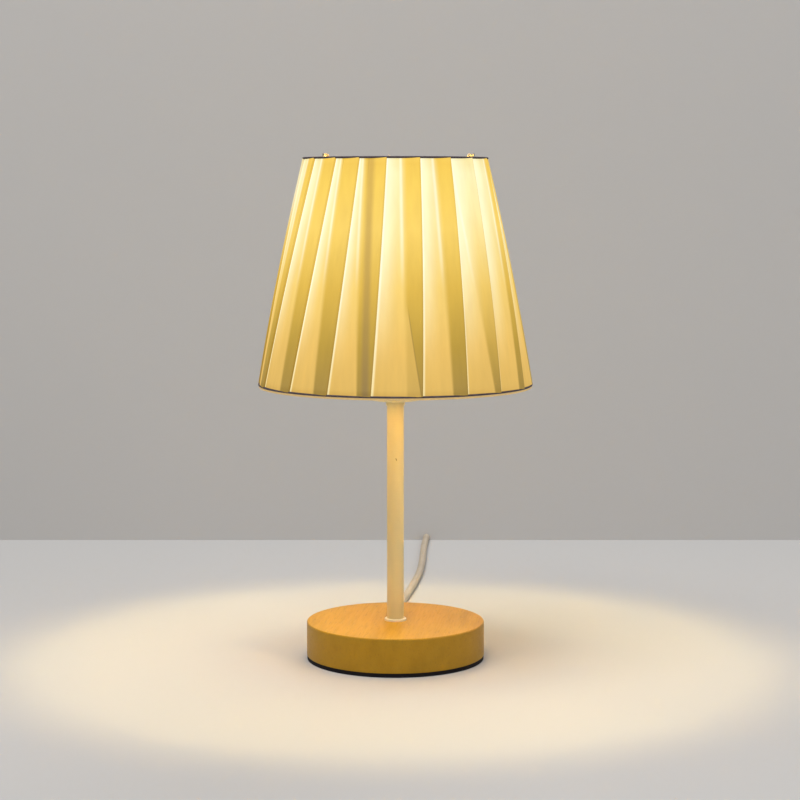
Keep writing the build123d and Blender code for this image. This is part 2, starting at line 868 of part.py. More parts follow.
def make_switch_cores():
    """The neutral core passes through uncut, and the live core ends at the two terminals."""
    lift = switch_wall + wire_radius + seat_clearance
    x_neutral = switch_x - wire_spacing / 2
    x_live = switch_x + wire_spacing / 2
    x_side = switch_x - switch_width / 2 + switch_wall + wire_diameter
    lead = 2 * switch_wall + wire_diameter
    through = [
        (x_neutral, switch_front, switch_axis),
        (x_neutral, switch_front + lead, switch_axis),
        (x_side, switch_front + lead + core_swing, lift),
        (x_side, switch_back - lead - 2 * core_swing, lift),
        (x_neutral, switch_back - lead - core_swing / 3, switch_axis),
        (x_neutral, switch_back, switch_axis),
    ]
    cores = [swept(wire_path(through, wire_diameter), wire_radius)]
    for end, side in ((switch_front, 1), (switch_back, -1)):
        face = switch_middle - side * (switch_terminal_reach + switch_terminal / 2)
        live = [
            (x_live, end, switch_axis),
            (x_live, end + side * lead, switch_axis),
            (terminal_x, face - side * wire_diameter, switch_wall + terminal_height / 2),
            (terminal_x, face, switch_wall + terminal_height / 2),
        ]
        cores.append(swept(wire_path(live, wire_tight_bend), wire_radius))
    return Compound(cores)


def make_switch_screws():
    top = switch_height - 3 * switch_wall
    screws = []
    for x, y in screw_places:
        head = rod(switch_screw_head, seat_clearance, switch_wall, x, y)
        screws.append(head + rod(switch_screw_radius, seat_clearance, top, x, y))
    return Compound(screws)


# Plug

neck_end = tail_route[-1][1]
plug_rear = neck_end - plug_neck
plug_front = plug_rear - plug_length
pin_root_radius = pin_diameter / 2 - pin_root_step


def make_plug_body():
    waist = plug_rear - plug_length / 2
    plan = Polyline(
        (plug_x - plug_rear_width / 2, plug_rear),
        (plug_x - plug_width / 2, waist),
        (plug_x - plug_width / 2, plug_front),
        (plug_x + plug_width / 2, plug_front),
        (plug_x + plug_width / 2, waist),
        (plug_x + plug_rear_width / 2, plug_rear),
        close=True,
    )
    body = extrude(make_face(plan), plug_thickness)
    body = fillet(body.edges().filter_by(Axis.Z), plug_edge)
    level = body.faces().filter_by(Axis.Z)
    body = fillet([*level[0].edges(), *level[-1].edges()], plug_edge / 2)
    neck = turned(
        (0, -plug_edge),
        (plug_neck_radius, -plug_edge),
        (plug_neck_radius, 0),
        (plug_neck_tip, plug_neck),
        (0, plug_neck),
    )
    body += Pos(plug_x, plug_rear, plug_axis) * Rot(-90, 0, 0) * neck
    for side in (-1, 1):
        body -= rod_along_y(pin_root_radius + seat_clearance, plug_front - cut_margin, plug_front + pin_root,
                            x=plug_x + side * pin_spacing / 2, z=plug_axis)
    return body


def make_plug_pins():
    pins = []
    for side in (-1, 1):
        x = plug_x + side * pin_spacing / 2
        pin = rod_along_y(pin_diameter / 2, plug_front - pin_length, plug_front, x, plug_axis)
        tip = pin.edges().filter_by(GeomType.CIRCLE).sort_by(Axis.Y)[0]
        root = rod_along_y(pin_root_radius, plug_front, plug_front + pin_root, x, plug_axis)
        pins.append(fillet(tip, pin_diameter / 4) + root)
    return Compound(pins)


terminals, terminal_screws = make_terminals()

nodes = {
    "base_pad": rod(base_radius - pad_inset, 0, pad_thickness),
    "base_block": make_base_block(),
    "stem_washer": ring(seat_radius, washer_diameter / 2, nut_top, recess_top),
    "stem_nut": make_stem_nut(),
    "stem_tube": ring(stem_radius - stem_wall, stem_radius, stem_bottom, stem_top),
    "stem_foot_ring": make_foot_ring(),
    "stem_collar": ring(seat_radius, stem_radius + collar_width, collar_bottom, cap_bottom),
    "cord_bush": make_cord_bush(),
    "cord_entry": rod_along_y(cord_radius, sheath_end, bush_tip, z=cord_axis_height),
    "live_wire": make_inner_wire(1),
    "neutral_wire": make_inner_wire(-1),
    "holder_cap": make_holder_cap(),
    "holder_core": make_holder_core(),
    "holder_shell": make_holder_shell(),
    "holder_screw_shell": ring(core_radius - screw_shell_wall, core_radius, core_top, core_top + screw_shell_height),
    "holder_centre_contact": make_centre_contact(),
    "holder_terminals": terminals,
    "holder_terminal_screws": terminal_screws,
    "bulb_tip": rod(contact_radius, bulb_bottom, insulator_bottom),
    "bulb_insulator": make_bulb_insulator(),
    "bulb_cap": make_bulb_cap(),
    "bulb_driver": make_bulb_driver(),
    "bulb_glass": glass_body(0) - glass_body(bulb_glass_wall),
    "bulb_mount": make_bulb_mount(),
    "bulb_filaments": make_bulb_filaments(),
    "shade_pleats": make_shade_pleats(),
    "shade_liner": make_shade_liner(),
    "shade_bottom_ring": make_wire_ring(cloth_bottom + ring_wire / 2),
    "shade_top_ring": make_wire_ring(cloth_top - ring_wire / 2),
    "shade_bottom_trim": make_bottom_trim(),
    "shade_top_trim": make_top_trim(),
    "shade_fitter_ring": make_fitter_ring(),
    "shade_retaining_ring": make_retaining_ring(),
    "cord_run": make_cord_tube("cord_run", run_route),
    "switch_lower_shell": make_switch_lower(),
    "switch_upper_shell": make_switch_upper(),
    "switch_rocker": make_rocker(),
    "switch_contacts": make_switch_contacts(),
    "switch_cores": make_switch_cores(),
    "switch_screws": make_switch_screws(),
    "cord_link": make_cord_tube("cord_link", link_route),
    "cord_coil": make_cord_coil(),
    "coil_tie": make_coil_tie(),
    "cord_tail": make_cord_tube("cord_tail", tail_route),
    "plug_body": make_plug_body(),
    "plug_pins": make_plug_pins(),
}
for index, name in enumerate(("back", "left", "right")):
    nodes[f"shade_arm_{name}"] = make_shade_arm(90 + arm_turn + index * 360 / arm_count)

os.makedirs("parts", exist_ok=True)
for node, solid in nodes.items():
    export_step(solid, f"parts/{node}.step")
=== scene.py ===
"""Looks of the wooden table lamp: pleated cloth shade, cream stem, turned wood base, cord, switch and plug."""
from math import atan, cos, pi, radians, sin

import bmesh
import bpy
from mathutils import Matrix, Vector


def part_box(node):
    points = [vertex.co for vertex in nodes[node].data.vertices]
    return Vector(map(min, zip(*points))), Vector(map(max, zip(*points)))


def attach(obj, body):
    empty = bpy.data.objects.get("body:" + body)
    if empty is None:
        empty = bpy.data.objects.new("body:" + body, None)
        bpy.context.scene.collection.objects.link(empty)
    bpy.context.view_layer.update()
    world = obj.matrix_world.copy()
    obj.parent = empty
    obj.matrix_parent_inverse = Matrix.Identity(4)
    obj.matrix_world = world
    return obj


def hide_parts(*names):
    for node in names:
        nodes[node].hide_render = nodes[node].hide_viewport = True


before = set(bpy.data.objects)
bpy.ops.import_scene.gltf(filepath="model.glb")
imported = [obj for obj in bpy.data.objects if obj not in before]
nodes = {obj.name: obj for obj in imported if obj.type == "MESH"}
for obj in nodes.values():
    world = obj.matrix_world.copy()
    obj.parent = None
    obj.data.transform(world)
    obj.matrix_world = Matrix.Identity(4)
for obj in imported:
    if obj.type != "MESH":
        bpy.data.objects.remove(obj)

scene = bpy.context.scene
scene.view_settings.view_transform = "Standard"
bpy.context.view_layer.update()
MM = 0.001


# Camera at the photograph's height and distance, level with the shade's upper part

CAMERA_DISTANCE = 1.201
CAMERA_HEIGHT = 0.2802
CAMERA_SIDE = 0.0027
AIM_HEIGHT = 0.1542
LENS = 92.25
SENSOR_WIDTH = 36.0


def place_camera():
    data = bpy.data.cameras.new("camera")
    data.sensor_width = SENSOR_WIDTH
    data.lens = LENS
    camera = bpy.data.objects.new("camera", data)
    scene.collection.objects.link(camera)
    camera.location = (CAMERA_SIDE, -CAMERA_DISTANCE, CAMERA_HEIGHT)
    aim = Vector((CAMERA_SIDE, 0, AIM_HEIGHT)) - camera.location
    camera.rotation_euler = aim.to_track_quat("-Z", "Y").to_euler()
    scene.camera = camera


place_camera()


# Small helpers for finishes and pieces

MIX_FIRST, MIX_SECOND, MIX_RESULT = 6, 7, 2    # the colour sockets of a Mix node


class Finish:
    """A node material with its Principled shader, and short calls for the nodes that lead into it."""

    def __init__(self, name, colour=(0.8, 0.8, 0.8), roughness=0.5, metallic=0.0, specular=0.5):
        self.material = bpy.data.materials.new(name)
        self.material.use_nodes = True
        self.tree = self.material.node_tree
        self.shader = self.tree.nodes["Principled BSDF"]
        self.set("Base Color", (*colour, 1.0))
        self.set("Roughness", roughness)
        self.set("Metallic", metallic)
        self.set("Specular IOR Level", specular)

    def set(self, socket, value):
        self.shader.inputs[socket].default_value = value

    def node(self, kind, **settings):
        made = self.tree.nodes.new("ShaderNode" + kind)
        for key, value in settings.items():
            setattr(made, key, value)
        return made

    def link(self, source, target):
        self.tree.links.new(source, target)

    def feed(self, source, socket):
        self.link(source, self.shader.inputs[socket])

    def value(self, target, given):
        """Sets or links one input, whichever the given thing is."""
        if isinstance(given, bpy.types.NodeSocket):
            self.link(given, target)
        else:
            target.default_value = given

    def place(self, scale=(1, 1, 1), turn=(0, 0, 0)):
        """Object coordinates, turned and then scaled."""
        turned = self.node("Mapping")
        turned.inputs["Rotation"].default_value = turn
        self.link(self.node("TexCoord").outputs["Object"], turned.inputs["Vector"])
        scaled = self.node("Mapping")
        scaled.inputs["Scale"].default_value = scale
        self.link(turned.outputs["Vector"], scaled.inputs["Vector"])
        return scaled.outputs["Vector"]

    def noise(self, where, scale, detail=3.0, roughness=0.55):
        made = self.node("TexNoise")
        made.inputs["Scale"].default_value = scale
        made.inputs["Detail"].default_value = detail
        made.inputs["Roughness"].default_value = roughness
        self.link(where, made.inputs["Vector"])
        return made.outputs["Fac"]

    def math(self, operation, first, second=0.0, third=0.0, clamp=False):
        made = self.node("Math", operation=operation, use_clamp=clamp)
        for target, given in zip(made.inputs, (first, second, third)):
            self.value(target, given)
        return made.outputs["Value"]

    def step(self, source, low, high):
        """0 below low, 1 above high, smooth between."""
        made = self.node("MapRange", interpolation_type="SMOOTHSTEP")
        self.value(made.inputs["Value"], source)
        self.value(made.inputs["From Min"], low)
        self.value(made.inputs["From Max"], high)
        return made.outputs["Result"]

    def fade(self, source, low, high):
        """1 below low, 0 above high, smooth between."""
        return self.math("SUBTRACT", 1.0, self.step(source, low, high))

    def parts(self, where):
        """The X, Y and Z of a vector."""
        made = self.node("SeparateXYZ")
        self.link(where, made.inputs["Vector"])
        return made.outputs["X"], made.outputs["Y"], made.outputs["Z"]

    def ramp(self, source, stops):
        made = self.node("ValToRGB")
        points = made.color_ramp.elements
        while len(points) < len(stops):
            points.new(0.5)
        for point, (place, colour) in zip(points, stops):
            point.position = place
            point.color = (*colour, 1.0)
        self.link(source, made.inputs["Fac"])
        return made.outputs["Color"]

    def mix(self, share, first, second, blend="MIX"):
        made = self.node("Mix", data_type="RGBA", blend_type=blend)
        self.value(made.inputs["Factor"], share)
        for socket, given in ((MIX_FIRST, first), (MIX_SECOND, second)):
            self.value(made.inputs[socket], (*given, 1.0) if isinstance(given, tuple) else given)
        return made.outputs[MIX_RESULT]

    def bump(self, height, distance, strength=1.0):
        made = self.node("Bump")
        made.inputs["Distance"].default_value = distance
        made.inputs["Strength"].default_value = strength
        self.link(height, made.inputs["Height"])
        self.feed(made.outputs["Normal"], "Normal")


def dress(finish, *names):
    """Gives CAD nodes a finish."""
    for name in names:
        slots = nodes[name].data.materials
        slots.clear()
        slots.append(finish.material)


def piece(name, bm, finish, body, smooth=True):
    """A new mesh piece that rides on a body."""
    mesh = bpy.data.meshes.new(name)
    for face in bm.faces:
        face.smooth = smooth
    bm.to_mesh(mesh)
    bm.free()
    mesh.materials.append(finish.material)
    made = bpy.data.objects.new(name, mesh)
    scene.collection.objects.link(made)
    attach(made, body)
    return made


def lathe(outline, steps=180):
    """A closed ring of the outline's (radius, height) points, spun about the lamp's axis."""
    bm = bmesh.new()
    corners = [bm.verts.new((r, 0, z)) for r, z in outline]
    edges = [bm.edges.new(pair) for pair in zip(corners, corners[1:] + corners[:1])]
    bmesh.ops.spin(bm, geom=corners + edges, cent=(0, 0, 0), axis=(0, 0, 1), angle=2 * pi, steps=steps,
                   use_merge=True, use_duplicate=False)
    bmesh.ops.remove_doubles(bm, verts=bm.verts, dist=1e-6)
    bmesh.ops.recalc_face_normals(bm, faces=bm.faces)
    return bm


# Cord: the route's points, from the bush at the back of the base to the plug

CORD = 5.0 * MM
FLOOR_LEVEL = CORD / 2
BUSH_TIP = 76 * MM
BUSH_LEVEL = 7.5 * MM
SWITCH_X = 28.5 * MM
SWITCH_LEVEL = 8.0 * MM
SWITCH_FRONT = BUSH_TIP + 409 * MM
SWITCH_BACK = SWITCH_FRONT + 60 * MM
COIL_PITCH = 5.6 * MM
COIL_OUTER = 37.6 * MM
COIL_LOOPS = 3
COIL_LOW = 1.1 * MM + CORD / 2
COIL_POINTS_PER_TURN = 24
PLUG_LEVEL = 6.85 * MM
PLUG_X = -67 * MM
COIL_START = SWITCH_BACK + 63 * MM


def run_points():
    """From the bush to the switch, with sides and distances from the bush's tip in millimetres."""
    from_bush = [
        (0.0, 0, BUSH_LEVEL), (0.0, 24, BUSH_LEVEL), (1.8, 54, FLOOR_LEVEL), (7.0, 96, FLOOR_LEVEL),
        (13.0, 141, FLOOR_LEVEL), (17.6, 188, FLOOR_LEVEL), (19.6, 235, FLOOR_LEVEL), (21.0, 282, FLOOR_LEVEL),
        (23.4, 328, FLOOR_LEVEL), (26.6, 364, FLOOR_LEVEL), (28.5, 391, SWITCH_LEVEL), (28.5, 409, SWITCH_LEVEL),
    ]
    return [(x * MM, BUSH_TIP + y * MM, z) for x, y, z in from_bush]


def link_points():
    return [
        (SWITCH_X, SWITCH_BACK, SWITCH_LEVEL),
        (SWITCH_X, SWITCH_BACK + 16 * MM, SWITCH_LEVEL),
        (SWITCH_X, SWITCH_BACK + 40 * MM, COIL_LOW),
        (SWITCH_X, COIL_START - CORD, COIL_LOW),
    ]


def coil_points():
    """In on the lower layer, up a layer in the half turn where the spiral reverses, and out on the upper."""
    rate = COIL_PITCH / (2 * pi)
    lead = atan(rate / COIL_OUTER)
    spiral = 2 * pi * COIL_LOOPS + lead
    inner = COIL_OUTER - rate * spiral
    centre = (SWITCH_X - COIL_OUTER * cos(lead), COIL_START + COIL_OUTER * sin(lead))
    count = round((2 * COIL_LOOPS + 0.5) * COIL_POINTS_PER_TURN)
    points = []
    for step in range(count + 1):
        angle = (2 * spiral + pi) * step / count
        climb = min(1, max(0, (angle - spiral) / pi))
        if angle <= spiral:
            radius = COIL_OUTER - rate * angle
        elif angle <= spiral + pi:
            radius = inner - rate * (angle - spiral) * (1 - climb)
        else:
            radius = inner + rate * (angle - spiral - pi)
        height = COIL_LOW + COIL_PITCH * climb * climb * (3 - 2 * climb)
        ray = angle - lead
        points.append((centre[0] + radius * cos(ray), centre[1] + radius * sin(ray), height))
    return points


def tail_points(coil_end):
    x, y, z = coil_end
    y -= CORD
    middle = (x + PLUG_X) / 2
    along = [(x, 0, z), (x, 14, z), (middle, 38, z - 3.8 * MM), (PLUG_X, 62, PLUG_LEVEL), (PLUG_X, 76, PLUG_LEVEL)]
    return [(side, y - back * MM, level) for side, back, level in along]


def cord_finish():
    made = Finish("cord_pvc", (0.53, 0.43, 0.30), roughness=0.42)
    grain = made.noise(made.place(), 1400, detail=2)
    handled = made.noise(made.place(), 45, detail=2)
    made.feed(made.ramp(handled, [(0.3, (0.48, 0.385, 0.26)), (0.7, (0.58, 0.475, 0.34))]), "Base Color")
    made.bump(grain, 0.00006, 0.5)
    return made


def make_cord(finish):
    coil = coil_points()
    points = run_points() + link_points() + coil + tail_points(coil[-1])
    curve = bpy.data.curves.new("mains_cord", "CURVE")
    curve.dimensions = "3D"
    spline = curve.splines.new("NURBS")
    spline.points.add(len(points) - 1)
    for target, point in zip(spline.points, points):
        target.co = (*point, 1.0)
    spline.order_u = 3
    spline.use_endpoint_u = True
    spline.resolution_u = 5
    curve.bevel_depth = CORD / 2
    curve.bevel_resolution = 4
    curve.use_fill_caps = True
    curve.materials.append(finish.material)
    made = bpy.data.objects.new("mains_cord", curve)
    scene.collection.objects.link(made)
    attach(made, "stand")
    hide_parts("cord_run", "cord_link", "cord_coil", "cord_tail")


pale_cord = cord_finish()
make_cord(pale_cord)
dress(pale_cord, "cord_bush", "cord_entry")


# Shade: eighteen knife pleats of one cloth, folded over a lining

RIM_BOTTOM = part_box("shade_bottom_trim")[0].z
RIM_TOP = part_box("shade_top_trim")[1].z
CLOTH_BOTTOM = RIM_BOTTOM + 1.9 * MM
CLOTH_TOP = RIM_TOP - 0.6 * MM
SHADE_BOTTOM = 80.9 * MM
SHADE_TOP = 53.9 * MM
SHADE_BULGE = 1.2 * MM
PLEATS = 18
PLEAT_PITCH = 360 / PLEATS
FIRST_FOLD = (11.7, 17.1)
FOLD_WANDER = [
    (-0.7, -2.1), (-1.4, -1.8), (-3.6, -3.0), (-4.6, -0.6), (-2.0, 0.4), (0.6, -0.8), (-0.5, 0.7), (0.8, 1.2),
    (-0.9, -0.4), (0.3, -1.1), (1.0, 0.6), (-0.6, -0.9), (0.4, 1.3), (-1.0, 2.0), (-2.7, 4.0), (-0.1, 4.4),
    (-0.1, 1.1), (-1.4, -2.1),
]
OVERLAP_EDGE = [
    (0.70, 0.46), (0.66, 0.43), (0.79, 0.06), (0.72, 0.70), (0.70, 0.22), (0.67, 0.38), (0.72, 0.50), (0.66, 0.36),
    (0.71, 0.44), (0.68, 0.52), (0.73, 0.40), (0.67, 0.47), (0.70, 0.36), (0.72, 1.10), (0.70, 0.66), (0.74, 0.46),
    (0.69, 0.28), (0.70, 0.18),
]
OVERLAP = 10.5 * MM
LAYER = 0.62 * MM
CLOTH = 0.22 * MM
CLOTH_ROWS = 36
PANEL_COLUMNS = 10
LINING_INSET = 2.6 * MM
LINING = 0.5 * MM
LINING_ROWS = 12
SEAM_TURN = (-11.9, -14.4)

# Glow of the cloth from its lower edge (0) to its upper edge (1)
ONE_LAYER = [
    (0.0, (0.61, 0.38, 0.09)), (0.2, (0.72, 0.45, 0.105)), (0.45, (0.82, 0.57, 0.15)),
    (0.75, (0.88, 0.76, 0.36)), (0.93, (0.86, 0.80, 0.44)), (1.0, (0.84, 0.72, 0.34)),
]
THREE_LAYERS = [
    (0.0, (0.26, 0.165, 0.030)), (0.2, (0.37, 0.230, 0.020)), (0.45, (0.62, 0.390, 0.045)),
    (0.7, (0.83, 0.57, 0.11)), (0.9, (0.82, 0.55, 0.08)), (1.0, (0.77, 0.49, 0.06)),
]
BAND_BLUR = (0.03, 0.12)
SHALLOW_PLEAT = 2.0
SHALLOW_RATE = 1.3
SHALLOW_REACH = 0.9
SLIPPED_PLEAT = 0.0
TUCK_TOP = (0.30, 0.40)
TUCK_LINE = (0.975, -0.83)
TUCK_SHADE = (0.20, 0.12, 0.02)
FOLD_GLOW = (0.97, 0.96, 0.68)
HIDDEN_EDGE_GLOW = (1.0, 0.99, 0.80)
FOLD_HIGHLIGHT_LOW = (0.90, 0.74, 0.32)
FOLD_HIGHLIGHT_HIGH = (1.0, 1.0, 0.82)
CREASE_SHADE = (0.22, 0.13, 0.02)
SEAM_LOW = (0.11, 0.075, 0.05)
SEAM_HIGH = (0.42, 0.25, 0.05)


def fold_radius(z):
    share = (z - RIM_BOTTOM) / (RIM_TOP - RIM_BOTTOM)
    return SHADE_BOTTOM + share * (SHADE_TOP - SHADE_BOTTOM) + SHADE_BULGE * 4 * share * (1 - share)


def fold_turn(pleat, height):
    """Azimuth of a fold in degrees: evenly spaced, with the small slips of folding by hand."""
    low, high = FOLD_WANDER[pleat % PLEATS]
    first = FIRST_FOLD[0] + low + height * (FIRST_FOLD[1] + high - FIRST_FOLD[0] - low)
    return first + pleat * PLEAT_PITCH


def pleat_stations(overlap, pitch=PLEAT_PITCH):
    """One pleat from under its neighbour to its fold, back under, and forward again.
    Each station is (turn from the fold in degrees, depth in layers, share of the panel)."""
    stations = []
    for column in range(PANEL_COLUMNS):
        share = column / PANEL_COLUMNS
        stations.append((pitch * (share - 1), 2 * (1 - share) ** 1.2, share))
    stations += [
        (-0.25, 0.02, 0.99),
        (0.0, 0.45, 1.0),
        (-0.3, 0.95, 1.0),
        (-0.5 * overlap, 1.0, 1.0),
        (0.2 - overlap, 1.08, 1.0),
        (-overlap, 1.5, 1.0),
        (0.2 - overlap, 1.92, 1.0),
        (-0.5 * overlap, 2.0, 1.0),
    ]
    return stations


def shade_point(radius, turn, z):
    return Vector((radius * sin(radians(turn)), -radius * cos(radians(turn)), z))


def make_cloth(finish):
    """The cloth starts as a flat grid: columns run round the shade, rows run up it."""
    per_pleat = len(pleat_stations(1.0))
    columns = PLEATS * per_pleat
    bm = bmesh.new()
    bmesh.ops.create_grid(bm, x_segments=columns, y_segments=CLOTH_ROWS, size=0.5)
    pattern = bm.loops.layers.uv.new("pleats")
    edges = bm.loops.layers.uv.new("overlaps")
    flat = {vert: (round((vert.co.x + 0.5) * columns), vert.co.y + 0.5) for vert in bm.verts}
    for face in bm.faces:
        first = min(flat[loop.vert][0] for loop in face.loops)
        pleat = first // per_pleat
        for loop in face.loops:
            column, height = flat[loop.vert]
            inside = column - pleat * per_pleat
            share = pleat_stations(1.0)[inside][2] if inside < per_pleat else 1.0
            loop[pattern].uv = (pleat + min(share, 0.999), height)
            loop[edges].uv = OVERLAP_EDGE[pleat]
    for vert, (column, height) in flat.items():
        pleat, station = divmod(column, per_pleat)
        z = CLOTH_BOTTOM + height * (CLOTH_TOP - CLOTH_BOTTOM)
        radius = fold_radius(z)
        overlap = OVERLAP / radius * 180 / pi
        fold = fold_turn(pleat, height)
        turn, depth, _ = pleat_stations(overlap, fold - fold_turn(pleat - 1, height))[station]
        vert.co = shade_point(radius - depth * LAYER, fold + turn, z)
    bmesh.ops.remove_doubles(bm, verts=bm.verts, dist=1e-6)
    bmesh.ops.recalc_face_normals(bm, faces=bm.faces)
    cloth = piece("shade_pleated_cloth", bm, finish, "shade")
    thickness = cloth.modifiers.new("cloth", "SOLIDIFY")
    thickness.thickness = CLOTH
    thickness.offset = 0
    return cloth


def layer_glow(made, index, shallow, across, height, edge):
    """The glow of one layer and of the three of an overlap, with the tuck that has slipped on one pleat and a line
    of painted shade along its fold.
    """
    blur = made.math("MULTIPLY_ADD", height, BAND_BLUR[1], BAND_BLUR[0])
    overlap = made.step(across, made.math("SUBTRACT", edge, blur), made.math("ADD", edge, blur))
    depth = made.math("MULTIPLY_ADD", made.math("MULTIPLY", shallow, height), -SHALLOW_RATE, 1.0, clamp=True)
    overlap = made.math("MULTIPLY", overlap, depth)
    slipped = made.math("COMPARE", index, SLIPPED_PLEAT, 0.5)
    slipped = made.math("MULTIPLY", slipped, made.fade(height, *TUCK_TOP))
    tuck = made.math("SUBTRACT", across, made.math("MULTIPLY_ADD", height, TUCK_LINE[1], TUCK_LINE[0]))
    before_tuck = made.math("MULTIPLY", slipped, made.fade(tuck, -0.015, 0.005))
    overlap = made.math("MULTIPLY", overlap, made.math("MULTIPLY_ADD", before_tuck, -0.6, 1.0))
    glow = made.mix(overlap, made.ramp(height, ONE_LAYER), made.ramp(height, THREE_LAYERS))
    # Painted shade: a darker line along the slipped tuck's fold.
    on_tuck = made.math("MULTIPLY", slipped, made.fade(made.math("ABSOLUTE", tuck), 0.006, 0.022))
    return made.mix(made.math("MULTIPLY", on_tuck, 0.5), glow, TUCK_SHADE)


def fold_glow(made, glow, shallow, across, height, edge):
    """Painted light: brighter glow next to a fold, along the hidden edge of the overlap and on the fold, and a
    crease painted darker as shade.
    """
    bright_to = made.math("MAXIMUM", edge, made.math("MULTIPLY", shallow, SHALLOW_REACH))
    near_fold = made.fade(across, 0.0, made.math("MULTIPLY", bright_to, 0.8))
    lift = made.math("MULTIPLY", near_fold, made.step(height, 0.05, 0.75))
    glow = made.mix(made.math("MULTIPLY", lift, 0.8), glow, FOLD_GLOW)
    from_edge = made.math("ABSOLUTE", made.math("SUBTRACT", made.math("ADD", across, 0.05), edge))
    at_edge = made.math("MULTIPLY", made.fade(from_edge, 0.0, 0.07), made.step(height, 0.40, 0.75))
    glow = made.mix(made.math("MULTIPLY", at_edge, 0.55), glow, HIDDEN_EDGE_GLOW)
    # Painted highlight: a bright line along each fold.
    fold_highlight = made.math("MULTIPLY", made.fade(across, 0.02, 0.07), 0.8)
    glow = made.mix(fold_highlight, glow, made.mix(made.step(height, -0.3, 0.7), FOLD_HIGHLIGHT_LOW, FOLD_HIGHLIGHT_HIGH))
    # Painted shade: a darker crease at the far end of each panel.
    crease = made.math("MULTIPLY", made.step(across, 0.955, 0.99), 0.22)
    return made.mix(crease, glow, CREASE_SHADE)


def seam_shadow(made, glow, height):
    """The soft shadow of the seam where the cloth's two ends meet."""
    x, y, _ = made.parts(made.place())
    turn = made.math("ARCTAN2", x, made.math("MULTIPLY", y, -1.0))
    low, high = (radians(end) for end in SEAM_TURN)
    off_seam = made.math("ABSOLUTE", made.math("SUBTRACT", turn, made.math("MULTIPLY_ADD", height, high - low, low)))
    seam_width = made.math("MULTIPLY_ADD", height, radians(1.8), radians(2.2))
    seam = made.fade(off_seam, radians(0.4), seam_width)
    return made.mix(made.math("MULTIPLY", seam, 0.55), glow, made.mix(height, SEAM_LOW, SEAM_HIGH))


def cloth_finish():
    """Cream cloth with the lamp lit."""
    made = Finish("pleated_cream_cloth", (0.20, 0.14, 0.05), roughness=0.85, specular=0.15)
    pleat, height, _ = made.parts(made.node("UVMap", uv_map="pleats").outputs["UV"])
    low_edge, high_edge, _ = made.parts(made.node("UVMap", uv_map="overlaps").outputs["UV"])
    across = made.math("FRACT", pleat)
    edge = made.math("MULTIPLY_ADD", height, made.math("SUBTRACT", high_edge, low_edge), low_edge)
    index = made.math("FLOOR", pleat)
    shallow = made.math("COMPARE", index, SHALLOW_PLEAT, 0.5)
    glow = layer_glow(made, index, shallow, across, height, edge)
    glow = fold_glow(made, glow, shallow, across, height, edge)
    glow = seam_shadow(made, glow, height)
    slub = made.math("MULTIPLY_ADD", made.noise(made.place((40, 40, 6)), 1.0, detail=3), 0.16, 0.92)
    streaks = made.math("MULTIPLY_ADD", made.noise(made.place((260, 260, 7)), 1.0, detail=2), 0.20, 0.90)
    glow = made.mix(1.0, glow, made.math("MULTIPLY", slub, streaks), blend="MULTIPLY")
    made.feed(glow, "Emission Color")
    made.set("Emission Strength", 1.0)
    threads = made.noise(made.place((900, 900, 90)), 1.0, detail=1)
    made.bump(threads, 0.0001, 0.4)
    return made


def lining_finish():
    """Smooth lining, brightest at the height of the bulb."""
    made = Finish("shade_lining", (0.36, 0.27, 0.11), roughness=0.8, specular=0.1)
    _, _, level = made.parts(made.place())
    height = made.step(level, RIM_BOTTOM, RIM_TOP)
    glow = made.ramp(height, [(0.0, (0.72, 0.44, 0.13)), (0.5, (1.0, 0.78, 0.36)), (1.0, (0.9, 0.62, 0.22))])
    made.feed(glow, "Emission Color")
    made.set("Emission Strength", 0.75)
    made.bump(made.noise(made.place(), 900, detail=2), 0.00006, 0.5)
    return made


def make_lining(finish):
    levels = [CLOTH_BOTTOM + (CLOTH_TOP - CLOTH_BOTTOM) * row / LINING_ROWS for row in range(LINING_ROWS + 1)]
    outside = [(fold_radius(z) - LINING_INSET, z) for z in levels]
    inside = [(radius - LINING, z) for radius, z in reversed(outside)]
    return piece("shade_smooth_lining", lathe(outside + inside), finish, "shade")


SAME_POINT = 1e-6


def rounded(centre, across, up, steps=6):
    """A pill-shaped outline of (radius, height) points round a centre, half sizes across and up."""
    radius = min(across, up)
    points = []
    for corner, (side, level) in enumerate(((1, 1), (-1, 1), (-1, -1), (1, -1))):
        middle = (centre[0] + side * (across - radius), centre[1] + level * (up - radius))
        for step in range(steps + 1):
            angle = (corner + step / steps) * pi / 2
            point = (middle[0] + radius * cos(angle), middle[1] + radius * sin(angle))
            if not points or (Vector(point) - Vector(points[-1])).length > SAME_POINT:
                points.append(point)
    if (Vector(points[0]) - Vector(points[-1])).length < SAME_POINT:
        points.pop()
    return points


def piping_finish():
    """Narrow corded ribbon with fine ribs that run round the shade. Its dark grey is painted shade: the trim stays
    unlit beside the glowing cloth.
    """
    made = Finish("piping_painted_shade", (0.085, 0.068, 0.080), roughness=0.8, specular=0.2)
    ribs = made.noise(made.place((500, 500, 3500)), 1.0, detail=1)
    made.feed(made.ramp(ribs, [(0.35, (0.065, 0.05, 0.06)), (0.65, (0.115, 0.095, 0.11))]), "Base Color")
    made.bump(ribs, 0.0001, 0.5)
    return made


def hem_finish():
    # The hem's emission is painted light: a warm glow standing in for the bulb's light on the rolled hem.
    made = Finish("hem_cloth_painted_glow", (0.30, 0.21, 0.09), roughness=0.85, specular=0.15)
    weave = made.noise(made.place((700, 700, 1200)), 1.0, detail=2)
    made.feed(made.ramp(weave, [(0.3, (0.50, 0.34, 0.15)), (0.7, (0.62, 0.44, 0.21))]), "Emission Color")
    made.set("Emission Strength", 0.75)
    made.bump(weave, 0.0001, 0.4)
    return made


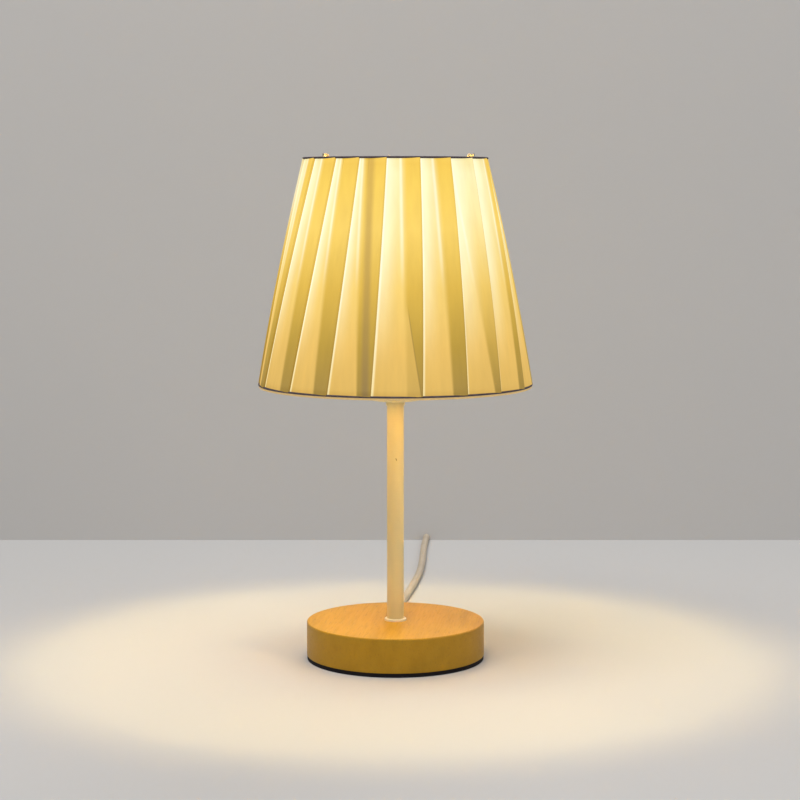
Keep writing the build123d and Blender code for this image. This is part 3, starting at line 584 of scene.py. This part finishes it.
def make_trims():
    """A piping at the cloth's lower edge over a rolled hem, and a piping at its upper edge, both painted dark grey
    as shade.
    """
    piping = piping_finish()
    low = RIM_BOTTOM + 1.75 * MM
    high = RIM_TOP - 0.6 * MM
    low_outline = rounded((fold_radius(low) - 0.75 * MM, low), 0.75 * MM, 0.55 * MM)
    hem_outline = rounded((fold_radius(RIM_BOTTOM) - 3.5 * MM, RIM_BOTTOM + 0.7 * MM), 2.9 * MM, 0.7 * MM)
    high_outline = rounded((fold_radius(high) - 2.4 * MM, high), 2.5 * MM, 0.6 * MM)
    lower = piece("shade_lower_piping", lathe(low_outline), piping, "shade")
    hem = piece("shade_rolled_hem", lathe(hem_outline), hem_finish(), "shade")
    upper = piece("shade_upper_piping", lathe(high_outline), piping, "shade")
    for made, node in ((lower, "shade_bottom_trim"), (hem, "shade_bottom_trim"), (upper, "shade_top_trim")):
        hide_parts(node)
    return [lower, hem, upper]


def make_shade():
    cloth = make_cloth(cloth_finish())
    lining = make_lining(lining_finish())
    trims = make_trims()
    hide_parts("shade_pleats")
    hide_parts("shade_liner")


make_shade()


# Base, stem, lamp holder and bulb

GRAIN_TURN = 83.0
BEECH_TONES = [
    (0.28, (0.54, 0.288, 0.012)), (0.45, (0.63, 0.345, 0.016)), (0.60, (0.69, 0.383, 0.021)),
    (0.75, (0.59, 0.318, 0.013)),
]
FIBRE_TONE = (0.46, 0.235, 0.016)
SIDE_SHADE_AND_END_GRAIN = (0.28, 0.145, 0.003)
FLECK_TONE = (0.24, 0.11, 0.020)
CREAM = (0.84, 0.71, 0.36)
CHIP_SIDE = 0.5 * MM
CHIP_LEVEL = 119.5 * MM
CHIP_HALF = (0.35 * MM, 1.0 * MM)
CHIP_SLANT = 0.35
CHIP_TONE = (0.26, 0.17, 0.06)
BASE_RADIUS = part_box("base_block")[1].x


def wood_finish():
    """Oiled beech: streaks and fine fibre that run nearly front to back, short dark flecks, and a side painted
    darker, partly as shade under the light from above and partly as darker end grain.
    """
    made = Finish("oiled_beech", roughness=0.42, specular=0.28)
    turn = (0, 0, radians(-GRAIN_TURN))
    streaks = made.noise(made.place((12, 105, 60), turn), 1.0, detail=4, roughness=0.6)
    fibre = made.noise(made.place((55, 1300, 900), turn), 1.0, detail=2)
    flecks = made.step(made.noise(made.place((120, 1000, 700), turn), 1.0, detail=2), 0.57, 0.68)
    tone = made.ramp(streaks, BEECH_TONES)
    tone = made.mix(made.math("MULTIPLY", fibre, 0.22), tone, FIBRE_TONE)
    across = made.node("VectorMath", operation="LENGTH")
    made.link(made.place((1, 1, 0)), across.inputs[0])
    # The side is darker: painted shade from the light above, partly darker end grain.
    side_shade_and_grain = made.step(across.outputs["Value"], BASE_RADIUS - 0.8 * MM, BASE_RADIUS - 0.1 * MM)
    tone = made.mix(made.math("MULTIPLY", side_shade_and_grain, 0.54), tone, SIDE_SHADE_AND_END_GRAIN)
    tone = made.mix(made.math("MULTIPLY", flecks, 0.20), tone, FLECK_TONE)
    made.feed(tone, "Base Color")
    made.feed(made.math("MULTIPLY_ADD", fibre, 0.2, 0.34), "Roughness")
    made.bump(made.math("SUBTRACT", fibre, made.math("MULTIPLY", flecks, 0.6)), 0.00008, 0.5)
    return made


def paint_finish(name, colour, roughness=0.38):
    """Sprayed enamel with a very slight orange peel."""
    made = Finish(name, colour, roughness=roughness)
    made.bump(made.noise(made.place(), 500, detail=1), 0.00005, 0.25)
    return made


def chipped_paint_finish(name, colour):
    """Enamel with one small chip, short and slanted, on the side that faces the front."""
    made = paint_finish(name, colour)
    x, y, z = made.parts(made.place())
    up = made.math("SUBTRACT", z, CHIP_LEVEL)
    side = made.math("MULTIPLY_ADD", up, CHIP_SLANT, made.math("SUBTRACT", x, CHIP_SIDE))
    span = made.math("ADD", made.math("POWER", made.math("DIVIDE", side, CHIP_HALF[0]), 2.0),
                     made.math("POWER", made.math("DIVIDE", up, CHIP_HALF[1]), 2.0))
    front = made.math("LESS_THAN", y, 0.0)
    chip = made.math("MULTIPLY", made.fade(span, 0.4, 1.1), front)
    made.feed(made.mix(made.math("MULTIPLY", chip, 0.75), colour, CHIP_TONE), "Base Color")
    return made


def plastic_finish(name, colour, roughness=0.35):
    """Moulded plastic with a fine spark-eroded grain."""
    made = Finish(name, colour, roughness=roughness)
    grain = made.noise(made.place(), 2200, detail=1)
    made.feed(made.math("MULTIPLY_ADD", grain, 0.12, roughness - 0.06), "Roughness")
    made.bump(grain, 0.00003, 0.4)
    return made


def metal_finish(name, colour, roughness):
    made = Finish(name, colour, roughness=roughness, metallic=1.0)
    scratches = made.noise(made.place((200, 200, 3000)), 1.0, detail=2)
    made.feed(made.math("MULTIPLY_ADD", scratches, 0.16, roughness - 0.08), "Roughness")
    return made


def rubber_finish(name, colour):
    made = Finish(name, colour, roughness=0.85, specular=0.25)
    made.bump(made.noise(made.place(), 1500, detail=2), 0.0001, 0.5)
    return made


def glass_finish():
    made = Finish("bulb_glass", (1.0, 0.93, 0.78), roughness=0.05)
    made.set("Alpha", 0.22)
    made.set("Emission Color", (1.0, 0.72, 0.34, 1.0))
    made.set("Emission Strength", 0.6)
    return made


def filament_finish():
    made = Finish("glowing_filament", (1.0, 0.75, 0.35), roughness=0.6)
    made.set("Emission Color", (1.0, 0.66, 0.28, 1.0))
    made.set("Emission Strength", 6.0)
    return made


def dress_cad():
    cream = paint_finish("cream_enamel", CREAM)
    white = plastic_finish("white_plastic", (0.84, 0.81, 0.74))
    steel = metal_finish("zinc_steel", (0.60, 0.60, 0.61), 0.38)
    brass = metal_finish("brass", (0.75, 0.56, 0.25), 0.3)
    dress(wood_finish(), "base_block")
    dress(rubber_finish("black_foam", (0.007, 0.005, 0.007)), "base_pad")
    dress(cream, "stem_collar", "holder_cap")
    dress(chipped_paint_finish("stem_enamel", CREAM), "stem_tube")
    dress(plastic_finish("cream_ring", (0.94, 0.87, 0.66), 0.3), "stem_foot_ring")
    dress(steel, "stem_washer", "stem_nut", "holder_terminal_screws", "switch_screws", "shade_top_ring",
          "shade_bottom_ring")
    dress(paint_finish("pale_enamel", (0.52, 0.44, 0.30)), "shade_arm_back", "shade_arm_right", "shade_arm_left",
          "shade_fitter_ring")
    dress(white, "holder_shell", "shade_retaining_ring", "switch_lower_shell", "switch_upper_shell",
          "switch_rocker", "plug_body")
    dress(plastic_finish("ceramic", (0.86, 0.84, 0.79), 0.5), "holder_core")
    dress(brass, "holder_screw_shell", "holder_centre_contact", "holder_terminals", "bulb_tip", "switch_contacts")
    dress(metal_finish("bright_aluminium", (0.80, 0.80, 0.80), 0.24), "bulb_cap")
    dress(plastic_finish("black_vitrite", (0.02, 0.02, 0.02), 0.25), "bulb_insulator")
    dress(plastic_finish("green_board", (0.08, 0.22, 0.12), 0.5), "bulb_driver")
    dress(glass_finish(), "bulb_glass", "bulb_mount")
    dress(filament_finish(), "bulb_filaments")
    dress(plastic_finish("brown_insulation", (0.16, 0.07, 0.035), 0.45), "live_wire")
    dress(plastic_finish("blue_insulation", (0.04, 0.12, 0.38), 0.45), "neutral_wire", "switch_cores")
    dress(rubber_finish("black_tie", (0.025, 0.025, 0.027)), "coil_tie")
    dress(metal_finish("nickel", (0.78, 0.76, 0.72), 0.22), "plug_pins")


dress_cad()


# Floor, wall and light

WALL_Y = 0.405
STAGE_REACH = 6
PALE = (0.58, 0.565, 0.55)
WORLD_TINT = (0.95, 0.97, 1.0, 1)
WORLD_STRENGTH = 0.26
GLOW_POWER = 5.0
GLOW_TINT = (1.0, 0.80, 0.34)
GLOW_LEVEL = 0.236
GLOW_RADIUS = 0.012


def backdrop_finish(name, hide_back):
    """Matt pale paint. The wall is clear from behind, and lets light through."""
    made = Finish(name, PALE, roughness=0.9, specular=0.1)
    if hide_back:
        path = made.node("LightPath")
        seen = made.math("ADD", path.outputs["Is Camera Ray"], path.outputs["Is Glossy Ray"])
        seen = made.math("ADD", seen, path.outputs["Is Transmission Ray"], clamp=True)
        back = made.node("NewGeometry").outputs["Backfacing"]
        shown = made.math("MULTIPLY", seen, made.math("SUBTRACT", 1.0, back))
        clear = made.node("BsdfTransparent")
        blend = made.node("MixShader")
        made.link(shown, blend.inputs["Fac"])
        made.link(clear.outputs["BSDF"], blend.inputs[1])
        made.link(made.shader.outputs["BSDF"], blend.inputs[2])
        made.link(blend.outputs["Shader"], made.tree.nodes["Material Output"].inputs["Surface"])
    return made


def backdrop(name, bm, finish):
    mesh = bpy.data.meshes.new(name)
    bm.to_mesh(mesh)
    bm.free()
    mesh.materials.append(finish.material)
    made = bpy.data.objects.new(name, mesh)
    scene.collection.objects.link(made)


def make_stage():
    bm = bmesh.new()
    bmesh.ops.create_grid(bm, x_segments=1, y_segments=1, size=STAGE_REACH)
    backdrop("floor", bm, backdrop_finish("pale_floor", False))
    bm = bmesh.new()
    corners = ((-STAGE_REACH, 0), (STAGE_REACH, 0), (STAGE_REACH, STAGE_REACH), (-STAGE_REACH, STAGE_REACH))
    bm.faces.new([bm.verts.new((x, WALL_Y, z)) for x, z in corners])
    backdrop("wall", bm, backdrop_finish("pale_wall", True))


def area_light(name, place, aim, size, power):
    data = bpy.data.lights.new(name, "AREA")
    data.size = size
    data.energy = power
    lamp = bpy.data.objects.new(name, data)
    scene.collection.objects.link(lamp)
    lamp.location = place
    lamp.rotation_euler = (Vector(aim) - Vector(place)).to_track_quat("-Z", "Y").to_euler()


def make_lights():
    world = bpy.data.worlds.new("studio")
    world.use_nodes = True
    sky = world.node_tree.nodes["Background"]
    sky.inputs["Color"].default_value = WORLD_TINT
    sky.inputs["Strength"].default_value = WORLD_STRENGTH
    scene.world = world
    area_light("key", (-0.5, -0.6, 2.0), (0, 0, 0.1), 1.4, 30)
    area_light("fill", (1.4, -1.0, 1.0), (0, 0, 0.15), 1.2, 6)
    area_light("back", (0.5, 1.6, 1.3), (0, 0, 0.15), 1.0, 9)
    glow = bpy.data.lights.new("bulb_glow", "POINT")
    glow.energy = GLOW_POWER
    glow.color = GLOW_TINT
    glow.shadow_soft_size = GLOW_RADIUS
    lamp = bpy.data.objects.new("bulb_glow", glow)
    lamp.location = (0, 0, GLOW_LEVEL)
    scene.collection.objects.link(lamp)
    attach(lamp, "bulb")


make_stage()
make_lights()
